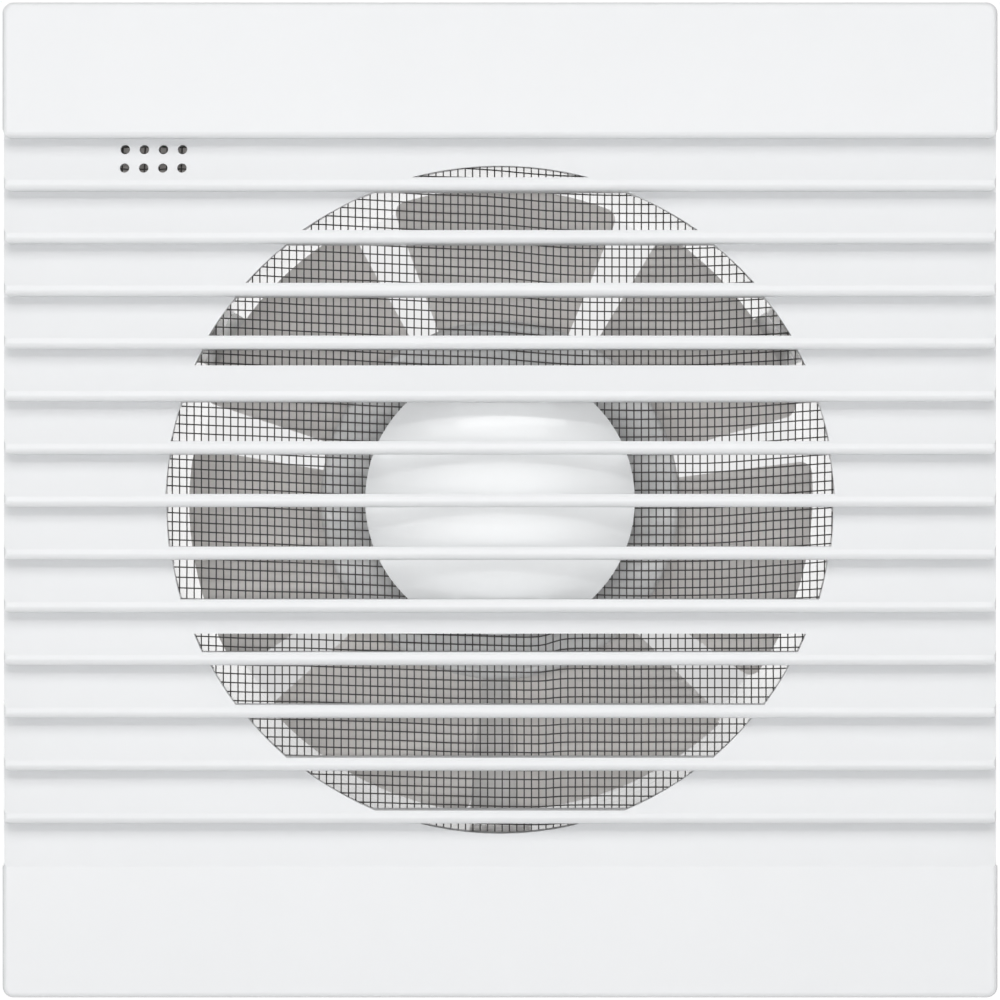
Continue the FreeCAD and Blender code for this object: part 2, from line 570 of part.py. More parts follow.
def pan_screw(r_head, h_head, r_shank, y_seat, y_end, slot=True):
    """head in front of y_seat, shank back to y_end, on the axis."""
    head = cyl_y(r_head, y_seat - h_head, y_seat)
    head = head.makeFillet(h_head * 0.45, [e for e in head.Edges if e.BoundBox.YLength < 1e-6
                                          and abs(e.BoundBox.YMin - (y_seat - h_head)) < 1e-6])
    s = head.fuse(cyl_y(r_shank, y_seat, y_end))
    if slot:
        for a in (0, 90):
            s = s.cut(about_y(box(-r_head * 0.55, r_head * 0.55, y_seat - h_head - 0.1, y_seat - h_head * 0.45,
                                  -r_head * 0.13, r_head * 0.13), a))
    return s.removeSplitter()


def placed(shape, spots):
    out = []
    for x, z in spots:
        c = shape.copy()
        c.translate(V(x, 0, z))
        out.append(c)
    return Part.makeCompound(out)


bolt = pan_screw(2.75, 2.2, v("bolt_radius"), v("shield_front"), v("cup_back") + 3.2)
keep(made("motor_bolts", placed(bolt, bolt_xz)))
hexa = Part.makePolygon([V(2.9 * math.cos(math.radians(60 * k)), v("cup_back"), 2.9 * math.sin(math.radians(60 * k)))
                         for k in range(7)])
nut = Part.Face(hexa).extrude(V(0, 2.4, 0)).cut(cyl_y(v("bolt_radius"), v("cup_back") - 1, v("cup_back") + 4))
keep(made("motor_nuts", placed(nut, bolt_xz)))

cap = body("motor_cap")
cb = v("cup_back")
co, cw, cd, cs_ = v("cup_outer"), 1.4, 4.5, cb + 5.0     # straight skirt, then a low dome
bigc = (co * co + cd * cd) / (2 * cd)
cc = cs_ + cd - bigc
ci = co - cw
yi = cc + math.sqrt((bigc - cw) ** 2 - ci * ci)
turn_y(cap, "cap_turned", [("edges", [
    arc3((0, cs_ + cd), (co * 0.5, cc + math.sqrt(bigc ** 2 - co * co * 0.25)), (co, cs_)),
    seg((co, cs_), (co, cb)), seg((co, cb), (ci, cb)), seg((ci, cb), (ci, yi)),
    arc3((ci, yi), (ci * 0.5, cc + math.sqrt((bigc - cw) ** 2 - ci * ci * 0.25)), (0, cs_ + cd - cw)),
    seg((0, cs_ + cd - cw), (0, cs_ + cd))])])
keep(cap)

# ---------------------------------------------------------------- motor, turning part
rc = body("rotor_core")
pad_y(rc, "rotor_stack", [("circle", 0, 0, "rotor_radius"), ("circle", 0, 0, "shaft_radius")], "rotor_back", "rotor_front")
keep(rc)
er = cyl_y(v("ring_outer"), v("rotor_front") - v("ring_high"), v("rotor_front")).cut(
    cyl_y(v("ring_inner"), v("rotor_front") - v("ring_high") - 1, v("rotor_front") + 1))
er2 = cyl_y(v("ring_outer"), v("rotor_back"), v("rotor_back") + v("ring_high")).cut(
    cyl_y(v("ring_inner"), v("rotor_back") - 1, v("rotor_back") + v("ring_high") + 1))
keep(made("rotor_end_rings", Part.makeCompound([er, er2])))
sh = body("motor_shaft")
pad_y(sh, "shaft_bar", [("circle", 0, 0, "shaft_radius")], "shaft_back", "shaft_front")
round_edges(sh, "shaft_end_rounding", lambda e: e.BoundBox.YLength < 1e-6 and e.BoundBox.XLength > 4.9,
            "lip_round * 0.35")
keep(sh)
w1 = cyl_y(4.8, v("shield_front") - 3.6, v("shield_front") - 2.6).cut(cyl_y(2.5, v("shield_front") - 5, v("shield_front")))
w2 = cyl_y(4.8, v("rotor_back"), v("rotor_back") + 1.3).cut(cyl_y(2.5, v("rotor_back") - 1, v("rotor_back") + 3))
keep(made("thrust_washers", Part.makeCompound([w1, w2])))
pn = cyl_y(5.0, v("hub_front") - 1.2, v("hub_front")).cut(cyl_y(2.5, v("hub_front") - 3, v("hub_front") + 1))
pn = pn.makeFillet(0.5, [e for e in pn.Edges if e.BoundBox.XLength > 9 and abs(e.BoundBox.YMin - v("hub_front") + 1.2) < 1e-6])
keep(made("push_nut", pn))

# ---------------------------------------------------------------- impeller
hr, hf, hb, hw = v("hub_radius"), v("hub_front"), v("hub_back"), v("hub_wall")
hd, rim = v("hub_dish"), hr - 1.6
e1 = Part.makePolygon([V(2.5, hf, 0), V(8.0, hf, 0), V(9.5, hf + hd, 0), V(hr - 9.0, hf + hd, 0), V(rim, hf, 0)]).Edges
c45 = 1.6 * (1 - math.sqrt(0.5))
e2 = Part.Arc(V(rim, hf, 0), V(hr - c45, hf + c45, 0), V(hr, hf + 1.6, 0)).toShape()
pts = [V(hr, hf + 1.6, 0), V(hr, hb, 0), V(hr - hw, hb, 0), V(hr - hw, hf + hw + 1.4, 0), V(rim - 1.2, hf + hw + 0.5, 0),
       V(hr - 9.4, hf + hd + hw, 0), V(9.5, hf + hd + hw, 0), V(8.4, hf + hd, 0),
       V(v("hub_boss"), hf + hw, 0), V(v("hub_boss"), v("boss_back"), 0), V(2.5, v("boss_back"), 0), V(2.5, hf, 0)]
es = [Part.LineSegment(pts[i], pts[i + 1]).toShape() for i in range(len(pts) - 1)]
hub = Part.Face(Part.Wire(e1 + [e2] + es)).revolve(V(0, 0, 0), V(0, 1, 0), 360)
bw, rt, br = v("blade_wide") / 2, v("tip_radius"), v("blade_round")
bf, bb_, bt = v("blade_front"), v("blade_back"), v("blade_thick")
wide = bw + 3.0
grow = math.tan(math.radians(wide)) / math.tan(math.radians(bw))
ymid, yh = (bf + bb_) / 2, (bb_ - bf) / 2 * grow - bt / 2


def section(r):
    """thin slanted section of the blade at height r above the axis: the edge
    that meets the air lies forward, the other one back, slightly cambered."""
    x = r * math.tan(math.radians(wide))
    n = 6
    up, dn = [], []
    for i in range(n + 1):
        q = -1.0 + 2.0 * i / n
        camber = 1.3 * (1 - q * q)
        y = ymid + q * yh + camber
        up.append(V(q * x, y - bt / 2, r))
        dn.append(V(q * x, y + bt / 2, r))
    return Part.makePolygon(up + dn[::-1] + [up[0]])


loft = Part.makeLoft([section(hr - 6.0), section(rt + 4.0)], True, True)
# front outline of one blade: sector with rounded tip corners
a_r = math.degrees(br / (rt - br))
o = []
p_in_l, p_in_r = at(hr - 1.0, -bw), at(hr - 1.0, bw)
d_r = (rt - br) * math.cos(math.asin(br / (rt - br)))
ang = bw - math.degrees(math.asin(br / (rt - br)))
cr = at(rt - br, ang)
cl = at(rt - br, -ang)
tr, tl = at(d_r, bw), at(d_r, -bw)
mr_dir = math.radians((ang + (bw + 90)) / 2)
ml_dir = math.radians(-(ang + (bw + 90)) / 2)
o = [seg(p_in_l, tl), arc3(tl, (cl[0] + br * math.sin(ml_dir), cl[1] + br * math.cos(ml_dir)), at(rt, -ang)),
     arc3(at(rt, -ang), at(rt, 0), at(rt, ang)),
     arc3(at(rt, ang), (cr[0] + br * math.sin(mr_dir), cr[1] + br * math.cos(mr_dir)), tr),
     seg(tr, p_in_r), arc3(p_in_r, at(hr - 1.0, 0), p_in_l)]
shapes = []
for e in o:
    s = e.toShape()
    s.rotate(V(0, 0, 0), V(1, 0, 0), 90)      # sketch plane to the X-Z plane
    shapes.append(s)
outline = Part.Face(Part.Wire(Part.__sortEdges__(shapes)))
outline.translate(V(0, -60, 0))
blade = loft.common(outline.extrude(V(0, 120, 0)))
blade = max(blade.Solids, key=lambda s: s.Volume)
wheel = hub
step = 360.0 / v("blade_count")
for k in range(int(v("blade_count"))):
    wheel = wheel.fuse(about_y(blade, v("blade_lead") + step * k))
wheel = wheel.removeSplitter()
keep(made("impeller", wheel.Solids[0] if len(wheel.Solids) == 1 else wheel))

# ---------------------------------------------------------------- wiring and board
dx, dz = math.sin(math.radians(la)), math.cos(math.radians(la))
nx, nz = dz, -dx                       # across the strut
lr, off, yl, yh_ = v("lead_radius"), v("lead_offset"), v("lead_level"), v("lead_high")
bend = 5.0
tilt = math.radians(60)
drop = yh_ - yl
straight = (drop - 2 * bend * (1 - math.cos(tilt))) / math.sin(tilt)
corner_rho = v("block_x") / dx
leads = []
turn = math.radians(abs(la))
base_r = 6.0
reach = base_r * math.tan(turn / 2)
for sgn in (-1.0, 1.0):
    def P(rho, y, o=sgn * off):
        return V(rho * dx + o * nx, y, rho * dz + o * nz)
    r0 = 22.4
    r_a = 34.0
    r_b = r_a + bend * math.sin(tilt)
    y_b = yh_ - bend * (1 - math.cos(tilt))
    r_c = r_b + straight * math.cos(tilt)
    y_c = y_b - straight * math.sin(tilt)
    r_d = r_c + bend * math.sin(tilt)
    a_mid = tilt / 2
    lead_edges = [Part.LineSegment(P(r0, yh_), P(r_a, yh_)).toShape(),
                  Part.Arc(P(r_a, yh_), P(r_a + bend * math.sin(a_mid), yh_ - bend * (1 - math.cos(a_mid))), P(r_b, y_b)).toShape(),
                  Part.LineSegment(P(r_b, y_b), P(r_c, y_c)).toShape(),
                  Part.Arc(P(r_c, y_c), P(r_d - bend * math.sin(a_mid), yl + bend * (1 - math.cos(a_mid))), P(r_d, yl)).toShape()]
    # bend in the wall plane from the strut direction to straight up
    rho_s = corner_rho - reach
    start = P(rho_s, yl)
    centre = V(rho_s * dx + base_r * nx, yl, rho_s * dz + base_r * nz)
    rad = base_r - sgn * off
    end = V(v("block_x") + sgn * off, yl, centre.z)
    mid_dir = V(-nx, 0, -nz).add(V(-1, 0, 0))
    mid_dir.normalize()
    middle = centre.add(mid_dir.multiply(rad))
    lead_edges += [Part.LineSegment(P(r_d, yl), start).toShape(),
                   Part.Arc(start, middle, end).toShape(),
                   Part.LineSegment(end, V(end.x, yl, v("block_low") + 2.2)).toShape()]
    way = Part.Wire(lead_edges)
    ring_face = Part.Wire(Part.makeCircle(lr, P(r0, yh_), V(dx, 0, dz)))
    pipe = way.makePipeShell([ring_face], True, False)
    if abs(pipe.Volume - math.pi * lr * lr * way.Length) > 0.02 * pipe.Volume:
        raise RuntimeError("lead volume does not match its length")
    leads.append(pipe)
keep(made("motor_leads", Part.makeCompound(leads)))

block_x, bh, b0, b1 = v("block_x"), v("block_half"), v("block_low"), v("block_top")
pf, bfro = v("plate_front"), v("block_front")
tb = body("terminal_block")
pad_y(tb, "block_body", [rect(block_x - bh, block_x + bh, b0, b1)], "plate_front", "block_front")
poles = [block_x - 2.5, block_x + 2.5]
sheet.set("A%d" % sheet_row, "well")
sheet.set("B%d" % sheet_row, "1.8")
sheet.setAlias("B%d" % sheet_row, "well")
sheet_row += 1
doc.recompute()
wells = [block_x - 5.0, block_x, block_x + 5.0]
cut_y(tb, "screw_wells", [("circle", x, (b0 + b1) / 2, "well") for x in wells], "block_front + 6", "block_front - 1")
grooves = cut_y(tb, "pole_grooves", [rect(x - 0.3, x + 0.3, b0 - 1, b1 + 1) for x in (block_x - 2.5, block_x + 2.5)],
                "block_front + 1.5", "block_front - 1")
s_ = tb.newObject("Sketcher::SketchObject", "wire_entries")
s_.AttachmentSupport = [(role(tb, "XY_Plane"), "")]
s_.MapMode = "FlatFace"
s_.setExpression("AttachmentOffset.Base.z", "Sizes.block_low")
for x in poles:
    i = s_.addGeometry(Part.Circle(V(x, yl, 0), V(0, 0, 1), lr + 0.1))
    c_ = s_.addConstraint(Sketcher.Constraint("Radius", i, lr + 0.1))
    s_.setExpression("Constraints[%d]" % c_, "Sizes.lead_radius + 0.1")
pk = tb.newObject("PartDesign::Pocket", "wire_entry_holes")
pk.Profile = s_
pk.Reversed = True
pk.Length = 2.4
before = tb.Shape.Volume
doc.recompute()
tb.Tip = pk
if pk.Shape.Volume >= before:
    raise RuntimeError("wire entries not cut")
keep(tb)
ts = pan_screw(1.65, 1.6, 1.1, bfro + 4.6, bfro + 6.0, slot=False)
ts = ts.cut(box(-2, 2, bfro + 2, bfro + 3.7, -0.25, 0.25))
keep(made("terminal_screws", placed(ts, [(x, (b0 + b1) / 2) for x in wells])))

bd = body("control_board")
bl, brt, blo, bhi = v("board_left"), v("board_right"), v("board_low"), v("board_high")
pad_y(bd, "board_sheet", [rect(bl, brt, blo, bhi)], "board_back", "board_front")
sheet.set("A%d" % sheet_row, "board_hole")
sheet.set("B%d" % sheet_row, "1.3")
sheet.setAlias("B%d" % sheet_row, "board_hole")
sheet_row += 1
doc.recompute()
cut_y(bd, "board_holes", [("circle", x, z, "board_hole") for x, z in board_posts], "board_back + 1", "board_front - 1")
keep(bd)
bfy = v("board_front")
pins = [Part.makeCylinder(0.5, blo - b1, V(x, (v("board_front") + v("board_back")) / 2, b1), V(0, 0, 1)) for x in wells]
keep(made("link_pins", Part.makeCompound(pins)))
capac = box(-66.5, -53.5, bfy - 9.0, bfy, 74.5, 80.5)
capac = capac.makeFillet(0.6, [e for e in capac.Edges if e.BoundBox.YMin < bfy - 0.1])
keep(made("board_capacitor", capac))
sens = box(-65.4, -60.2, bfy - 3.2, bfy, 66.2, 71.4).cut(cyl_y(1.2, bfy - 4, bfy - 2.4, -62.8, 68.8))
sens = sens.makeFillet(0.4, [e for e in sens.Edges if e.BoundBox.YLength > 3 and e.BoundBox.XLength < 1e-6])
keep(made("humidity_sensor", sens))
bs = pan_screw(2.1, 1.5, 1.1, bfy, pf - 0.6)
keep(made("board_screws", placed(bs, board_posts)))

gr = body("cable_grommet")
gx, gz, gh = v("cable_x"), v("cable_z"), v("cable_hole")
gp = cyl_y(gh, pf, 0.0, gx, gz).fuse(cyl_y(gh + 1.8, pf - 1.6, pf, gx, gz))
doc.removeObject(gr.Name)
gp = gp.cut(cyl_y(3.4, pf - 5, 3, gx, gz)).removeSplitter()
gp = gp.makeFillet(0.6, [e for e in gp.Edges if abs(e.BoundBox.YMin - (pf - 1.6)) < 1e-6 and e.BoundBox.XLength > 10])
keep(made("cable_grommet", gp))
cz, chf = v("clamp_z"), v("clamp_half")
saddle = box(gx - chf - 3.2, gx + chf + 3.2, pf - 7.0, pf - 4.0, cz - 3.2, cz + 3.2)
saddle = saddle.cut(Part.makeCylinder(3.6, 20, V(gx, pf - 3.2, cz - 10), V(0, 0, 1)))
for x, z in clamp_posts:
    saddle = saddle.cut(cyl_y(1.4, pf - 9, pf - 3, x, z))
saddle = saddle.makeFillet(1.2, [e for e in saddle.Edges if e.BoundBox.YLength > 2.9 and e.BoundBox.XLength < 1e-6
                                 and abs(abs(e.BoundBox.XMin - gx) - chf - 3.2) < 1e-6])
keep(made("cable_clamp", saddle))
cs = pan_screw(2.2, 1.6, 1.1, pf - 7.0, pf - 0.6)
keep(made("clamp_screws", placed(cs, clamp_posts)))

# ---------------------------------------------------------------- write
doc.recompute()
for ob in doc.Objects:
    if "Invalid" in ob.State or "Error" in ob.State:
        raise RuntimeError("broken object " + ob.Name)
for ob in nodes:
    s = ob.Shape
    if s.isNull() or not s.isValid():
        raise RuntimeError("bad shape " + ob.Label)
    s.exportStep("parts/%s.step" % ob.Label)
    b = s.BoundBox
    print("%-18s solids %2d  volume %10.1f  x %.1f..%.1f y %.1f..%.1f z %.1f..%.1f" % (
        ob.Label, len(s.Solids), s.Volume, b.XMin, b.XMax, b.YMin, b.YMax, b.ZMin, b.ZMax))
print(len(nodes), "nodes")
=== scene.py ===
import math

import bpy
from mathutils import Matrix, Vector, noise


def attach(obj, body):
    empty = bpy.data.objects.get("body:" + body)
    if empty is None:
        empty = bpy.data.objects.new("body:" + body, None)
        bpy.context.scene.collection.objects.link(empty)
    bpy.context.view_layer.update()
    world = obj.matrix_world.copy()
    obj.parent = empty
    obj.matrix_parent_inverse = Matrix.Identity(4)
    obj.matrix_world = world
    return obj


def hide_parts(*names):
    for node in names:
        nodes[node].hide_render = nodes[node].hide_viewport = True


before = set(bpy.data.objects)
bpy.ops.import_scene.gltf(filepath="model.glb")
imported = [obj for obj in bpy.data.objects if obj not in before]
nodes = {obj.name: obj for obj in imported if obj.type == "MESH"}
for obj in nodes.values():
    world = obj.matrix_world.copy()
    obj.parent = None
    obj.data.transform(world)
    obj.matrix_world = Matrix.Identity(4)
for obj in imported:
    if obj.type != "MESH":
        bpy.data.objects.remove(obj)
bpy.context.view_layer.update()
scene = bpy.context.scene


# ------------------------------------------------------------------ materials
def material(name, colour, rough, metallic=0.0, grain=400.0, tint=0.03, rough_var=0.06, bump=0.02,
             coat=0.0, stretch=None, subsurface=0.0, specular=0.5):
    """Principled finish whose colour, gloss and surface all vary with fine grain in object space."""
    m = bpy.data.materials.new(name)
    m.use_nodes = True
    t = m.node_tree
    b = t.nodes["Principled BSDF"]
    b.inputs["Metallic"].default_value = metallic
    b.inputs["IOR"].default_value = 1.52
    b.inputs["Specular IOR Level"].default_value = specular
    if coat:
        b.inputs["Coat Weight"].default_value = coat
        b.inputs["Coat Roughness"].default_value = 0.12
    if subsurface:
        b.inputs["Subsurface Weight"].default_value = subsurface
        b.inputs["Subsurface Radius"].default_value = (1.0, 1.0, 1.0)
        b.inputs["Subsurface Scale"].default_value = 0.003
    co = t.nodes.new("ShaderNodeTexCoord")
    mp = t.nodes.new("ShaderNodeMapping")
    if stretch:
        mp.inputs["Scale"].default_value = stretch
    t.links.new(co.outputs["Object"], mp.inputs["Vector"])
    fine = t.nodes.new("ShaderNodeTexNoise")
    fine.inputs["Scale"].default_value = grain
    fine.inputs["Detail"].default_value = 4.0
    fine.inputs["Roughness"].default_value = 0.6
    broad = t.nodes.new("ShaderNodeTexNoise")
    broad.inputs["Scale"].default_value = grain * 0.06
    broad.inputs["Detail"].default_value = 3.0
    for n in (fine, broad):
        t.links.new(mp.outputs["Vector"], n.inputs["Vector"])
    ramp = t.nodes.new("ShaderNodeValToRGB")
    lo = [max(0.0, c * (1.0 - tint)) for c in colour]
    hi = [min(1.0, c * (1.0 + tint)) for c in colour]
    ramp.color_ramp.elements[0].position = 0.3
    ramp.color_ramp.elements[0].color = (*lo, 1.0)
    ramp.color_ramp.elements[1].position = 0.7
    ramp.color_ramp.elements[1].color = (*hi, 1.0)
    t.links.new(broad.outputs["Fac"], ramp.inputs["Fac"])
    t.links.new(ramp.outputs["Color"], b.inputs["Base Color"])
    rr = t.nodes.new("ShaderNodeMapRange")
    rr.inputs["From Min"].default_value = 0.3
    rr.inputs["From Max"].default_value = 0.7
    rr.inputs["To Min"].default_value = max(0.02, rough - rough_var)
    rr.inputs["To Max"].default_value = min(1.0, rough + rough_var)
    t.links.new(fine.outputs["Fac"], rr.inputs["Value"])
    t.links.new(rr.outputs["Result"], b.inputs["Roughness"])
    if bump:
        bp = t.nodes.new("ShaderNodeBump")
        bp.inputs["Strength"].default_value = bump
        bp.inputs["Distance"].default_value = 0.0002
        t.links.new(fine.outputs["Fac"], bp.inputs["Height"])
        t.links.new(bp.outputs["Normal"], b.inputs["Normal"])
    return m


def striped(name, colour, dark, rough, metallic, scale, direction):
    """metal in fine layers (sheet stacks) or turns (wound wire)."""
    m = material(name, colour, rough, metallic, grain=900.0, tint=0.06, bump=0.0)
    t = m.node_tree
    b = t.nodes["Principled BSDF"]
    co = [n for n in t.nodes if n.type == "TEX_COORD"][0]
    w = t.nodes.new("ShaderNodeTexWave")
    w.bands_direction = direction
    w.inputs["Scale"].default_value = scale
    w.inputs["Distortion"].default_value = 0.4
    w.inputs["Detail"].default_value = 1.0
    t.links.new(co.outputs["Object"], w.inputs["Vector"])
    ramp = t.nodes.new("ShaderNodeValToRGB")
    ramp.color_ramp.elements[0].color = (*dark, 1.0)
    ramp.color_ramp.elements[0].position = 0.15
    ramp.color_ramp.elements[1].color = (*colour, 1.0)
    ramp.color_ramp.elements[1].position = 0.6
    t.links.new(w.outputs["Color"], ramp.inputs["Fac"])
    t.links.new(ramp.outputs["Color"], b.inputs["Base Color"])
    bp = t.nodes.new("ShaderNodeBump")
    bp.inputs["Strength"].default_value = 0.4
    bp.inputs["Distance"].default_value = 0.0003
    t.links.new(w.outputs["Fac"], bp.inputs["Height"])
    t.links.new(bp.outputs["Normal"], b.inputs["Normal"])
    return m


white = material("white_abs", (0.700, 0.708, 0.718), 0.36, grain=700.0, tint=0.006, rough_var=0.04, bump=0.012,
                 specular=0.35)
dome_white = material("white_gloss", (0.79, 0.80, 0.806), 0.08, grain=500.0, tint=0.006, rough_var=0.03, bump=0.004,
                      specular=0.25)
inner_white = material("white_inner", (0.88, 0.876, 0.87), 0.10, grain=500.0, tint=0.01, rough_var=0.05, bump=0.02)
taupe = material("impeller_grey", (0.90, 0.872, 0.852), 0.5, grain=350.0, tint=0.03, rough_var=0.06, bump=0.03,
                 specular=0.3)
# hub of the wheel paler and cooler than its blades
tree = taupe.node_tree
co = [n for n in tree.nodes if n.type == "TEX_COORD"][0]
by_radius = tree.nodes.new("ShaderNodeMapping")
by_radius.inputs["Scale"].default_value = (1.0 / 0.066, 0.0, 1.0 / 0.066)
ball = tree.nodes.new("ShaderNodeTexGradient")
ball.gradient_type = "SPHERICAL"
tree.links.new(co.outputs["Object"], by_radius.inputs["Vector"])
tree.links.new(by_radius.outputs["Vector"], ball.inputs["Vector"])
blend = tree.nodes.new("ShaderNodeMix")
blend.data_type = "RGBA"
edge = tree.nodes.new("ShaderNodeMapRange")
edge.inputs["From Min"].default_value = 0.490
edge.inputs["From Max"].default_value = 0.503
tree.links.new(ball.outputs["Fac"], edge.inputs["Value"])
tree.links.new(edge.outputs["Result"], blend.inputs["Factor"])
ramps = [n for n in tree.nodes if n.type == "VALTORGB"]
cool = tree.nodes.new("ShaderNodeValToRGB")
cool.color_ramp.elements[0].position, cool.color_ramp.elements[1].position = 0.3, 0.7
cool.color_ramp.elements[0].color = (0.92, 0.92, 0.92, 1.0)
cool.color_ramp.elements[1].color = (0.95, 0.95, 0.95, 1.0)
grain_node = [n for n in tree.nodes if n.type == "TEX_NOISE"][1]
tree.links.new(grain_node.outputs["Fac"], cool.inputs["Fac"])
tree.links.new(ramps[0].outputs["Color"], blend.inputs["A"])
tree.links.new(cool.outputs["Color"], blend.inputs["B"])
tree.links.new(blend.outputs["Result"], tree.nodes["Principled BSDF"].inputs["Base Color"])
wire = material("screen_wire", (0.072, 0.069, 0.066), 0.45, metallic=0.35, grain=2500.0, tint=0.15, rough_var=0.1, bump=0.05)
zinc = material("zinc_cast", (0.60, 0.61, 0.63), 0.42, metallic=0.9, grain=900.0, tint=0.06, bump=0.05)
steel = material("zinc_plated", (0.68, 0.69, 0.70), 0.28, metallic=1.0, grain=1600.0, tint=0.05, bump=0.03)
ground = material("ground_steel", (0.72, 0.73, 0.75), 0.18, metallic=1.0, grain=1200.0, tint=0.04, bump=0.02, stretch=(1, 12, 1))
bronze = material("sintered_bronze", (0.55, 0.38, 0.19), 0.5, metallic=0.9, grain=2600.0, tint=0.14, bump=0.12)
copper = material("bare_copper", (0.75, 0.40, 0.24), 0.3, metallic=1.0, grain=900.0, tint=0.07, bump=0.03)
alu = material("die_cast_aluminium", (0.74, 0.75, 0.77), 0.4, metallic=1.0, grain=800.0, tint=0.05, bump=0.05)
nylon = material("nylon", (0.80, 0.76, 0.66), 0.45, grain=600.0, tint=0.03, bump=0.02, subsurface=0.1)
sheath = material("lead_sheath", (0.06, 0.16, 0.42), 0.4, grain=800.0, tint=0.08, bump=0.03)
block_grey = material("block_plastic", (0.78, 0.78, 0.75), 0.45, grain=600.0, tint=0.03, bump=0.02)
brass = material("brass", (0.76, 0.57, 0.26), 0.3, metallic=1.0, grain=1200.0, tint=0.06, bump=0.03)
laminate = material("board_laminate", (0.035, 0.19, 0.075), 0.38, grain=1500.0, tint=0.2, bump=0.05)
film_cap = material("capacitor_case", (0.72, 0.55, 0.10), 0.3, grain=500.0, tint=0.05, bump=0.02)
sensor_white = material("sensor_case", (0.84, 0.84, 0.82), 0.5, grain=900.0, tint=0.03, bump=0.04)
# patch holder: its dark grey is painted shade, standing for the shadowed hollow seen through the small screen
painted_shade_holder = material("holder_painted_shade", (0.50, 0.475, 0.455), 0.8, grain=1400.0, tint=0.12, rough_var=0.08, bump=0.15)
rubber = material("rubber", (0.02, 0.02, 0.02), 0.65, grain=900.0, tint=0.2, bump=0.08)
stack = striped("lamination_stack", (0.46, 0.47, 0.49), (0.16, 0.16, 0.17), 0.42, 0.9, 320.0, "Y")
wound = striped("enamelled_wire", (0.66, 0.29, 0.12), (0.26, 0.09, 0.03), 0.3, 0.8, 420.0, "Z")

FINISH = {
    "front_cover": white, "hub_dome": dome_white, "screen_frame": inner_white, "housing": inner_white,
    "motor_cap": inner_white, "impeller": taupe, "stator_core": stack, "rotor_core": stack,
    "coil_bobbins": nylon, "coil_windings": wound, "shading_rings": copper, "front_end_shield": zinc,
    "rear_end_shield": zinc, "front_bearing": bronze, "rear_bearing": bronze, "motor_bolts": steel,
    "motor_nuts": steel, "rotor_end_rings": alu, "motor_shaft": ground, "thrust_washers": nylon, "push_nut": steel,
    "motor_leads": sheath, "terminal_block": block_grey, "terminal_screws": brass, "control_board": laminate,
    "link_pins": steel, "board_capacitor": film_cap, "humidity_sensor": sensor_white, "board_screws": steel,
    "cable_grommet": rubber, "cable_clamp": block_grey, "clamp_screws": steel,
    "insect_screen": wire, "sensor_screen": wire, "patch_holder": painted_shade_holder,
}
for name, finish in FINISH.items():
    ob = nodes[name]
    ob.data.materials.clear()
    ob.data.materials.append(finish)


# ------------------------------------------------------------------ woven wire screens
MM = 0.001
PITCH_X, PITCH_Z, WIRE_R = 1.341, 1.634, 0.128     # woven insect screen, wire 0.26 mm


def soft(t, w):
    """0 below zero, t above it, with a bend w wide."""
    return w * math.log1p(math.exp(max(-40.0, min(40.0, t / w))))


def slack(x, z):
    """how far (mm, in x and z) the cloth has slipped from a true grid at this place."""
    q = Vector((x * 0.085 - 2.3, z * 0.07 + 0.9, 2.6))
    ripple = 0.16 * noise.noise(q)
    dx = 0.14 * noise.noise(Vector((x * 0.02 + 7.0, z * 0.03, 1.1)))
    # upper part: wires run down to the right, level out, then climb at the right-hand edge
    upper = -0.045 * (x - soft(x - 18.0, 4.0)) + 0.085 * soft(x - 40.0, 5.0) - 0.30 * math.tanh((x - 5.0) / 6.0)
    # lower part: gentler fall, then a soft kink upwards right of the middle, strongest at its top
    step = 0.45 + 1.05 * math.exp(-((z + 25.0) / 5.5) ** 2)
    lower = -0.030 * (x - soft(x - 6.0, 3.0)) + step * 0.5 * (1.0 + math.tanh((x - 9.6) / 2.1)) + 0.02 * soft(x - 40.0, 5.0)
    s = min(1.0, max(0.0, (z + 14.0) / -9.0))
    s = s * s * (3.0 - 2.0 * s)
    return dx, upper * (1.0 - s) + lower * s + ripple


def tube(points, radius, verts, faces, sides=5):
    """round-ish wire through points (mm), appended to verts and faces, ends closed."""
    base = len(verts)
    n = len(points)
    for i, p in enumerate(points):
        a = points[max(0, i - 1)]
        c = points[min(n - 1, i + 1)]
        d = (Vector(c) - Vector(a)).normalized()
        side = d.cross(Vector((0, 1, 0))).normalized()
        up = side.cross(d).normalized()
        for k in range(sides):
            ang = 2 * math.pi * k / sides
            q = Vector(p) + side * (math.cos(ang) * radius) + up * (math.sin(ang) * radius)
            verts.append((q.x * MM, q.y * MM, q.z * MM))
    for i in range(n - 1):
        for k in range(sides):
            k2 = (k + 1) % sides
            a, b_ = base + i * sides + k, base + i * sides + k2
            faces.append((a, a + sides, b_ + sides, b_))
    faces.append(tuple(base + k for k in range(sides)))
    last = base + (n - 1) * sides
    faces.append(tuple(last + k for k in reversed(range(sides))))


